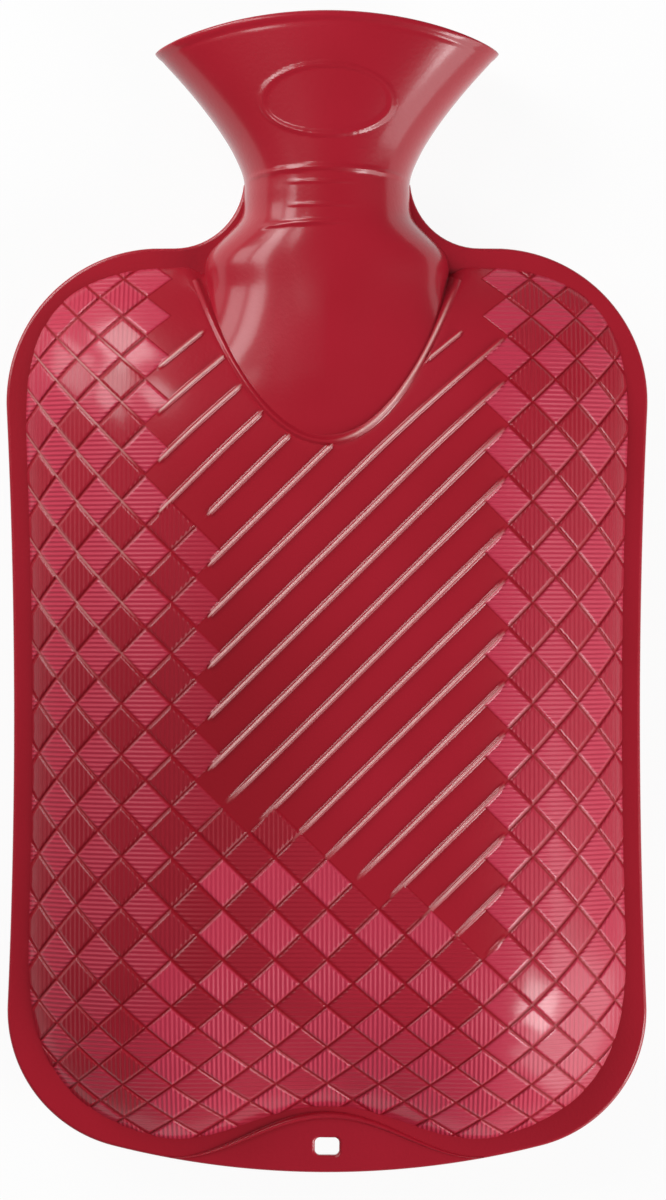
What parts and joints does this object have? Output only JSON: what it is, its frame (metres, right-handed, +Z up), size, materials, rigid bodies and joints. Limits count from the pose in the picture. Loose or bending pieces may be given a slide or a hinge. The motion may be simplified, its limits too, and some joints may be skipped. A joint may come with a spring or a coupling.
{
  "type": "hot water bottle",
  "caption": "Flat moulded plastic hot water bottle with a raised diamond and slanting-rib front, an oval filling funnel, a screw stopper and a hanging tab.",
  "frame": {"origin": "under the middle of the bottle's length and width, on the surface it lies on", "axes": "+X across the bottle, +Y along it towards the mouth, +Z up out of the patterned front"},
  "size_m": [0.1838, 0.33, 0.0509],
  "materials": {
    "bottle_plastic": "soft moulded plastic, glossy, deep red",
    "stopper_plastic": "hard moulded plastic, satin, deep red",
    "washer_rubber": "matt pale rubber"
  },
  "bodies": {
    "bottle": {"bottle": "bottle_plastic"},
    "washer": {"sealing_washer": "washer_rubber"},
    "stopper": {"stopper": "stopper_plastic"}
  },
  "joints": [
    {"name": "stopper_lift", "type": "slide", "parent": "bottle", "child": "washer", "axis": [0, 1, 0], "range_m": [0, 0.015]},
    {"name": "stopper_turn", "type": "hinge", "parent": "washer", "child": "stopper", "pos_m": [0, 0.119, 0.025], "axis": [0, 1, 0], "range_deg": [0, 1080]}
  ],
  "couplings": [
    {"joint": "stopper_lift", "follows": "stopper_turn", "m_per_rad": 0.00079577}
  ]
}
